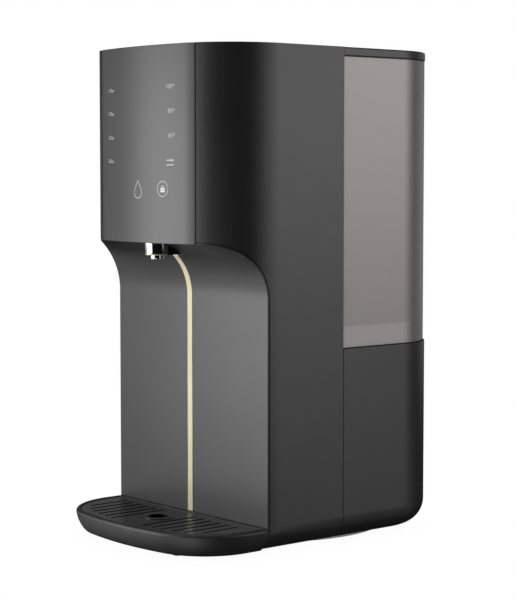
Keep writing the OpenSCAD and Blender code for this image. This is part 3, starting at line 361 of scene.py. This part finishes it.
# one number as flat ink, with its left or right end at the origin
def numberInk(text, align, size):
    curve = bpy.data.curves.new("number", "FONT")
    curve.body = text
    curve.size = size
    curve.space_character = printing["spacing"]
    curve.align_x, curve.align_y = align, "CENTER"
    holder = addObject("number", curve)
    mesh = bpy.data.meshes.new_from_object(holder)
    bm = bmesh.new()
    bm.from_mesh(mesh)
    bpy.data.objects.remove(holder)
    bpy.data.curves.remove(curve)
    bpy.data.meshes.remove(mesh)
    bmesh.ops.remove_doubles(bm, verts=bm.verts, dist=printing["merge"])
    return bm


# a circle drawn up to a point, as an outline
def waterDrop(spec):
    bm = bmesh.new()
    bmesh.ops.create_circle(bm, cap_ends=True, segments=spec["sides"], radius=1)
    for v in bm.verts:
        fromTop = acos(max(-1, min(1, v.co.y)))
        v.co.x *= spec["size"][0] * sin(fromTop / 2) ** spec["taper"]
        v.co.y *= spec["size"][1]
    crowded = [v for v in bm.verts if v.co.y > 0 and printing["near"] < abs(v.co.x) < spec["point"]]
    bmesh.ops.dissolve_verts(bm, verts=crowded)  # so that its outline doesn't cross itself at the point
    outlineOf(bm, printing["line"])
    return bm


# the upper half of a ring
def lockShackle(spec):
    bm = roundOutline(spec["shackle"], printing["line"], spec["sides"])
    bmesh.ops.bisect_plane(bm, geom=allOf(bm), dist=printing["near"], plane_co=origin, plane_no=(0, -1, 0),
                           clear_outer=True)
    return bm


# joins the printed shapes of one group in a single mesh
def joinInk(name, shapes, ink):
    joined = bmesh.new()
    for bm in shapes:
        part = bpy.data.meshes.new("part")
        bm.to_mesh(part)
        bm.free()
        joined.from_mesh(part)
        bpy.data.meshes.remove(part)
    addPiece(name, meshFrom(joined, name), ink, bodyOf["front_panel"], "natural")


# amounts: a number, then a plain mark of three ticks
amounts, ticks = printing["amounts"], printing["ticks"]
amountShapes = []
for text, down in amounts["rows"].items():
    number = numberInk(text, "LEFT", amounts["size"])
    edge = amounts["left"] + max(v.co.x for v in number.verts) + ticks["gap"]
    amountShapes.append(layInk(number, amounts["left"], down))
    for i in range(ticks["count"]):
        amountShapes.append(layInk(bar(*ticks["size"]), edge + i * ticks["pitch"], down + ticks["drop"]))

# heats: a number with a degree ring, and two bars under them
heats, degree, bars = printing["heats"], printing["degree"], printing["bars"]
heatShapes = []
for text, down in heats["rows"].items():
    heatShapes.append(layInk(numberInk(text, "RIGHT", heats["size"]), heats["right"], down))
    heatShapes.append(layInk(roundOutline(degree["radius"], degree["line"], degree["sides"]),
                             heats["right"] + degree["gap"], down - degree["rise"]))
for down in bars["down"]:
    heatShapes.append(layInk(bar(*bars["size"], bars["parts"]), bars["across"], down))

# water drop, and a padlock in a ring
drop, ring, lock = printing["drop"], printing["ring"], printing["lock"]
dropShape = layInk(waterDrop(drop), drop["across"], drop["down"])
lockRing = roundOutline(ring["radius"], printing["line"], ring["sides"])
ringShape = layInk(lockRing, ring["across"], ring["down"])
lockDown = ring["down"] + lock["lower"]
lockBody = bar(*lock["body"])
outlineOf(lockBody, lock["hole"])
lockShapes = [layInk(lockBody, ring["across"], lockDown),
              layInk(lockShackle(lock), ring["across"], lockDown - lock["rise"])]

marks = {
    "amountMarks": (amountShapes, "numbers"),
    "heatMarks": (heatShapes, "outlines"),
    "dropMark": ([dropShape], "outlines"),
    "lockRing": ([ringShape], "outlines"),
    "lockMark": (lockShapes, "lock"),
}
for markName, (markShapes, ink) in marks.items():
    joinInk(markName, markShapes, ink)
print("printing", len(marks))

# fine ring round the chrome sleeve's lower edge, open where the outlet block stands, in pale lacquer that
# paints the rim's bright reflection
# in millimetres, with its reach to either side in degrees
rimSpec = {"radius": 9.45, "wire": 0.5, "rise": 0.4, "reach": 108, "sides": 12, "steps": 48}
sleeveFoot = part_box("outlet_sleeve")[0][2]
spoutLow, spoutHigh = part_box("spout")
spoutMiddle = (spoutLow[1] + spoutHigh[1]) / 2
rim = bmesh.new()
bmesh.ops.create_circle(rim, cap_ends=True, segments=rimSpec["sides"], radius=rimSpec["wire"] * mm)
turnShape(rim, 90, "Y")
bmesh.ops.translate(rim, verts=rim.verts, vec=(0, -rimSpec["radius"] * mm, 0))
turnShape(rim, -rimSpec["reach"], "Z")
bmesh.ops.spin(rim, geom=allOf(rim), cent=origin, axis=(0, 0, 1), angle=radians(2 * rimSpec["reach"]),
               steps=rimSpec["steps"])
bmesh.ops.translate(rim, verts=rim.verts, vec=(0, spoutMiddle, sleeveFoot + rimSpec["rise"] * mm))
bmesh.ops.recalc_face_normals(rim, faces=rim.faces)
print("sleeve rim", len(rim.faces))
# its pale lacquer is a painted highlight along the chrome's rim
addPiece("sleeveRim", meshFrom(rim, "sleeveRim"), "accent", bodyOf["outlet_sleeve"], "accent")

# mains inlet's blades, over the construction's pins, in millimetres
bladeSpec = {"across": (-7.0, 0.0, 7.0), "rise": (-2.0, 2.0, -2.0), "size": (2.3, 9.6, 4.3), "middle": 16.0,
             "height": 34.0, "back": 13.5, "edge": 0.5, "segments": 2}
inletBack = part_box("power_inlet")[1][1]
blades = bmesh.new()
for across, rise in zip(bladeSpec["across"], bladeSpec["rise"]):
    at = Vector(((bladeSpec["middle"] + across) * mm, inletBack - bladeSpec["back"] * mm,
                 (bladeSpec["height"] + rise) * mm))
    bmesh.ops.create_cube(blades, size=mm,
                          matrix=Matrix.Translation(at) @ Matrix.Diagonal((*bladeSpec["size"], 1)))
roundEdges(blades, blades.edges[:], bladeSpec["edge"], bladeSpec["segments"])
addPiece("inletBlades", meshFrom(blades, "inletBlades"), "steel", bodyOf["power_inlet"], "steel")
print("inlet blades", len(bladeSpec["across"]))

# camera, fitted to the photograph's frame: place in metres, angles in degrees, shift in pixels of that frame
cameraSpec = {"lens": 108.11, "sensor": 36.0, "at": (1.1686, -0.9740, 0.3058), "pitch": 85.84,
              "heading": 49.91, "shift": (-0.5, 0.5), "frameHeight": 600}
camera = addObject("camera", bpy.data.cameras.new("camera"))
camera.data.lens = cameraSpec["lens"]
camera.data.sensor_width = cameraSpec["sensor"]
camera.data.shift_x, camera.data.shift_y = (s / cameraSpec["frameHeight"] for s in cameraSpec["shift"])
camera.location = cameraSpec["at"]
camera.rotation_euler = (radians(cameraSpec["pitch"]), 0.0, radians(cameraSpec["heading"]))
scene.camera = camera

# floor: white paper to the eye with a faint contact shade; the lights pass it, as in a shot on lit glass
# size and the shade's reach in metres
floorSpec = {"size": 8.0, "lit": 1.0, "shade": 0.97, "reach": 0.02}
floorMesh = bmesh.new()
bmesh.ops.create_grid(floorMesh, x_segments=1, y_segments=1, size=floorSpec["size"])
floorPiece = addObject("floor", meshFrom(floorMesh, "floor"))
floorMaterial, floorTree, floorShader = newMaterial("whitePaper")
contact = addNode(floorTree, "ShaderNodeAmbientOcclusion", {"Distance": floorSpec["reach"]})
level = addNode(floorTree, "ShaderNodeMapRange", {"To Min": floorSpec["shade"], "To Max": floorSpec["lit"]},
                {"Value": (contact, "AO")})
paper = addNode(floorTree, "ShaderNodeEmission", None, {"Strength": (level, "Result")})
setNode(floorTree, floorTree.nodes["Material Output"], None, {"Surface": (paper, "Emission")})
floorTree.nodes.remove(floorShader)
floorPiece.data.materials.append(floorMaterial)
floorPiece.visible_diffuse = floorPiece.visible_glossy = False
floorPiece.visible_transmission = floorPiece.visible_shadow = False

# room: a white backdrop to the eye, and a dim room in what the object mirrors
roomSpec = {"colour": (1, 1, 1, 1), "seen": 1.0, "fill": 0.005}
world = bpy.data.worlds.new("studio")
scene.world = world
world.use_nodes = True
room = world.node_tree
seen = addNode(room, "ShaderNodeBackground", {"Color": roomSpec["colour"], "Strength": roomSpec["seen"]})
fill = addNode(room, "ShaderNodeBackground", {"Color": roomSpec["colour"], "Strength": roomSpec["fill"]})
roomRay = addNode(room, "ShaderNodeLightPath")
inMirrors, toEye = 1, 2  # a Mix Shader's inputs, whose names repeat
roomMix = addNode(room, "ShaderNodeMixShader", None,
                  {"Fac": (roomRay, "Is Camera Ray"), inMirrors: (fill, "Background"),
                   toEye: (seen, "Background")})
setNode(room, room.nodes["World Output"], None, {"Surface": (roomMix, "Shader")})

# soft boxes round the object, each aimed at its middle: heading in degrees from the front towards the left,
# height angle, distance and side in metres, and power
boxAim = Vector((0.0, 0.0, 0.2))
softBoxes = {
    "keyBox": {"heading": 32, "height": 2, "away": 0.75, "side": 0.4, "watts": 2.56},
    "keyLowBox": {"heading": 32, "height": -25, "away": 0.75, "side": 0.4, "watts": 1.0},
    "keyHighBox": {"heading": 32, "height": 29, "away": 0.75, "side": 0.4, "watts": 0.95},
    "frontBox": {"heading": 10, "height": 4, "away": 1.6, "side": 0.9, "watts": 3.6},
    "frontLowBox": {"heading": -20, "height": -34, "away": 1.6, "side": 0.9, "watts": 7.4},
    "leftBox": {"heading": 70, "height": 4, "away": 1.6, "side": 0.9, "watts": 1.45},
    "leftLowBox": {"heading": 70, "height": -28, "away": 1.6, "side": 0.9, "watts": 0.95},
    "sideBox": {"heading": -110, "height": 4, "away": 1.6, "side": 0.9, "watts": 3.65},
    "rearBox": {"heading": -130, "height": 10, "away": 1.6, "side": 0.45, "watts": 3.3},
    "rearLowBox": {"heading": -130, "height": -8, "away": 1.6, "side": 0.45, "watts": 1.0},
    "floorBox": {"heading": -140, "height": -28, "away": 1.6, "side": 0.9, "watts": 0.75},
    "backBox": {"heading": 130, "height": 6, "away": 1.6, "side": 0.9, "watts": 0.6},
    "behindBox": {"heading": 172, "height": 8, "away": 1.6, "side": 0.9, "watts": 1.4},
    "topBox": {"heading": 0, "height": 88, "away": 1.3, "side": 1.0, "watts": 8.0},
}


def addSoftBox(name, spec):
    lamp = bpy.data.lights.new(name, "AREA")
    lamp.size, lamp.energy = spec["side"], spec["watts"]
    box = addObject(name, lamp)
    heading, height = radians(spec["heading"]), radians(spec["height"])
    out = Vector((-sin(heading) * cos(height), -cos(heading) * cos(height), sin(height)))
    box.location = boxAim + spec["away"] * out
    box.rotation_euler = (-out).to_track_quat("-Z", "Y").to_euler()


for boxName, boxSpec in softBoxes.items():
    addSoftBox(boxName, boxSpec)
scene.view_settings.view_transform = "Standard"
print("studio", len(softBoxes))
